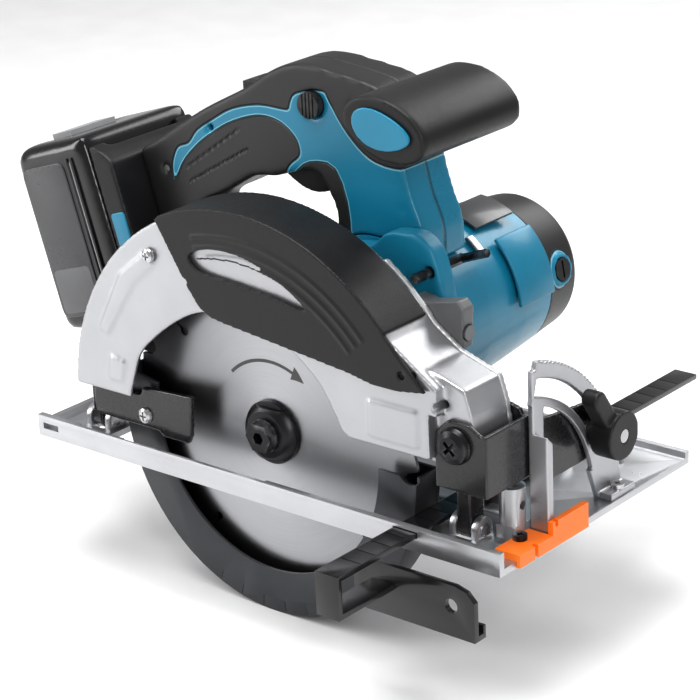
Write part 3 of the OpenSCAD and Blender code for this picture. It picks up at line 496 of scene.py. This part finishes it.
mark(end_cap, collar, lambda v: 0.0)
moulded("lamp_shell", ["lamp_block"], 0.0006, 6, "saw", M["grey"])
moulded("knob_shell", ["bevel_knob"], 0.0006, 6, "knob", M["black"])
moulded("cover_shell", ["case_cover"], 0.0006, 3, "saw", M["cover"])
bevelled("base_bevel", ["base_plate"], 0.0005, "base", M["base"])
bevelled("fence_bevel", ["rip_fence"], 0.0008, "fence", M["fence"], 3)
bevelled("guard_bevel", ["lower_guard"], 0.0003, "guard", M["guard"])
bevelled("flange_bevel", ["outer_flange"], 0.0004, "spindle", M["oxide"])


def added(name, bm, width, body, mat):
    """Turn a finished bmesh into a rounded piece of its own."""
    bmesh.ops.recalc_face_normals(bm, faces=bm.faces)
    mesh = bpy.data.meshes.new(name)
    bm.to_mesh(mesh)
    bm.free()
    obj = bpy.data.objects.new(name, mesh)
    bpy.context.scene.collection.objects.link(obj)
    bevel = obj.modifiers.new("bevel", "BEVEL")
    bevel.width = width
    bevel.segments = 3
    evaluated(obj)
    obj.data.shade_smooth()
    obj.data.set_sharp_from_angle(angle=math.radians(35))
    return place(obj, body, mat, [])


def plate(name, outline, y0, y1, body, mat, width=0.0004):
    """A thin rounded plate from an outline in the side view, in millimetres."""
    bm = bmesh.new()
    rings = [[bm.verts.new((x * MM, y * MM, z * MM)) for x, z in outline] for y in (y0, y1)]
    bm.faces.new(rings[0])
    bm.faces.new(rings[1][::-1])
    size = len(outline)
    for i in range(size):
        bm.faces.new((rings[0][i], rings[1][i], rings[1][(i + 1) % size], rings[0][(i + 1) % size]))
    return added(name, bm, width, body, mat)


def rounded(points, radius, steps=5):
    """A polygon with its corners rounded."""
    out = []
    size = len(points)
    for i in range(size):
        a, b, c = (Vector(points[(i + k - 1) % size]) for k in range(3))
        p, q = b + (a - b).normalized() * radius, b + (c - b).normalized() * radius
        for k in range(steps + 1):
            t = k / steps
            out.append(tuple(p * (1 - t) ** 2 + b * 2 * t * (1 - t) + q * t * t))
    return out


TILT = math.radians(17)
PACK_CORNER = Vector((-122.5, 131.5))
PACK_UP = Vector((math.cos(TILT), math.sin(TILT)))
PACK_LONG = Vector((math.sin(TILT), -math.cos(TILT)))


def on_pack(a, b):
    """Side-view point of the battery: a back from the handle, b along its length."""
    return PACK_CORNER - PACK_UP * a + PACK_LONG * b


def panel(name, a0, a1, b0, b1, radius, y0, y1, body, mat, width=0.0004, steps=5):
    """A rounded rectangle on the near side of the battery or its socket."""
    corners = [on_pack(a0, b0), on_pack(a1, b0), on_pack(a1, b1), on_pack(a0, b1)]
    plate(name, rounded(corners, radius, steps), y0, y1, body, mat, width)


socket_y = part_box("battery_socket")[0].y / MM
near_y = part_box("battery_pack")[0].y / MM
panel("socket_panel", -3, -12, 30, 54, 2, socket_y - 0.6, socket_y + 1.2, "saw", M["teal"])
panel("pack_label", 18, 48, 1, 76, 5, near_y - 0.5, near_y + 0.6, "battery", M["label"])
panel("pack_label_low", 20, 46, 52, 74, 3, near_y - 0.7, near_y - 0.3, "battery", M["grey"],
      0.0001)
for a in (11.5, 14.5):
    panel("pack_rib_%d" % a, a - 0.7, a + 0.7, 0, 74, 0.6, near_y - 0.7, near_y + 0.6, "battery",
          M["gloss"], 0.0003, 2)


def wrap(name, radius, a0, a1, y0, y1, thick, mat):
    """A thin rectangular patch that follows the motor's round body, angles in degrees from the front."""
    bm = bmesh.new()
    steps = 16
    grid = []
    for r in (radius - 1.0, radius + thick):
        for y in (y0, y1):
            for i in range(steps + 1):
                a = math.radians(a0 + (a1 - a0) * i / steps)
                x, z = r * MM * math.cos(a), r * MM * math.sin(a)
                grid.append(bm.verts.new((MOTOR.x + x, y * MM, MOTOR.z + z)))
    n = steps + 1
    for i in range(steps):
        for p, q in ((0, n), (2 * n, 3 * n), (0, 2 * n), (n, 3 * n)):
            bm.faces.new((grid[p + i], grid[p + i + 1], grid[q + i + 1], grid[q + i]))
    for i in (0, steps):
        bm.faces.new((grid[i], grid[n + i], grid[3 * n + i], grid[2 * n + i]))
    return added(name, bm, thick * MM * 0.8, "saw", mat)


motor_r = (motor_hi.x - motor_lo.x) / 2 / MM
wrap("motor_label", motor_r, 60, 86, 82, 110, 0.3, M["label"])
wrap("motor_panel", motor_r, 2, 48, 86, 112, 0.9, M["teal"])
wrap("motor_clip", motor_r, 44, 57, 71, 76, 0.8, M["chrome"])

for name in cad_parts:
    N[name].data.shade_smooth()
    N[name].data.set_sharp_from_angle(angle=math.radians(30))


# ---- floor, light and camera -------------------------------------------------------

low = CAD_BOX[0][2]
half = 6.0
floor_mesh = bpy.data.meshes.new("floor")
floor_mesh.from_pydata([(-half, -half, low), (half, -half, low), (half, half, low), (-half, half, low)],
                       [], [(0, 1, 2, 3)])
floor = bpy.data.objects.new("floor", floor_mesh)
bpy.context.scene.collection.objects.link(floor)
floor.data.materials.append(plain("floor_paint", (0.86, 0.86, 0.86), 0.6, depth=0.00001, vary=0.01))

world = bpy.data.worlds.new("studio")
bpy.context.scene.world = world
world.use_nodes = True
world.node_tree.nodes["Background"].inputs[0].default_value = (1.0, 1.0, 1.0, 1.0)
world.node_tree.nodes["Background"].inputs[1].default_value = 0.42


def lamp(name, place_m, aim, size, watts):
    data = bpy.data.lights.new(name, "AREA")
    data.shape = "RECTANGLE"
    data.size, data.size_y = size
    data.energy = watts
    obj = bpy.data.objects.new(name, data)
    obj.location = place_m
    obj.rotation_euler = (Vector(aim) - Vector(place_m)).to_track_quat("-Z", "Y").to_euler()
    bpy.context.scene.collection.objects.link(obj)


lamp("top", (-0.1, -0.1, 1.3), (0, 0, 0.05), (0.9, 0.9), 19)
lamp("front", (1.3, -0.9, 0.8), (0, 0, 0.06), (0.4, 0.9), 12)
lamp("left", (-1.2, -0.9, 0.6), (0, 0, 0.06), (0.4, 1.2), 12)
lamp("back", (0.2, 1.3, 1.0), (0, 0.05, 0.08), (1.0, 0.6), 10)

CAMERA_AT = (0.6984, -0.7604, 0.4536)
LENS = 127.5
AZ, EL, ROLL = (math.radians(v) for v in (40.6, 20.8, -2.61))
back = Vector((math.sin(AZ) * math.cos(EL), -math.cos(AZ) * math.cos(EL), math.sin(EL)))
right = Vector((math.cos(AZ), math.sin(AZ), 0.0))
up = back.cross(right)
right, up = (right * math.cos(ROLL) + up * math.sin(ROLL), up * math.cos(ROLL) - right * math.sin(ROLL))
cam = bpy.data.cameras.new("camera")
cam.lens = LENS
cam.sensor_width = 36.0
cam.clip_start = 0.05
camera = bpy.data.objects.new("camera", cam)
turn = Matrix((right, up, back)).transposed().to_4x4()
camera.matrix_world = Matrix.Translation(CAMERA_AT) @ turn
bpy.context.scene.collection.objects.link(camera)
bpy.context.scene.camera = camera
bpy.context.scene.view_settings.view_transform = "Standard"
bpy.context.scene.view_settings.gamma = 0.88
bpy.context.scene.view_settings.exposure = 0.06
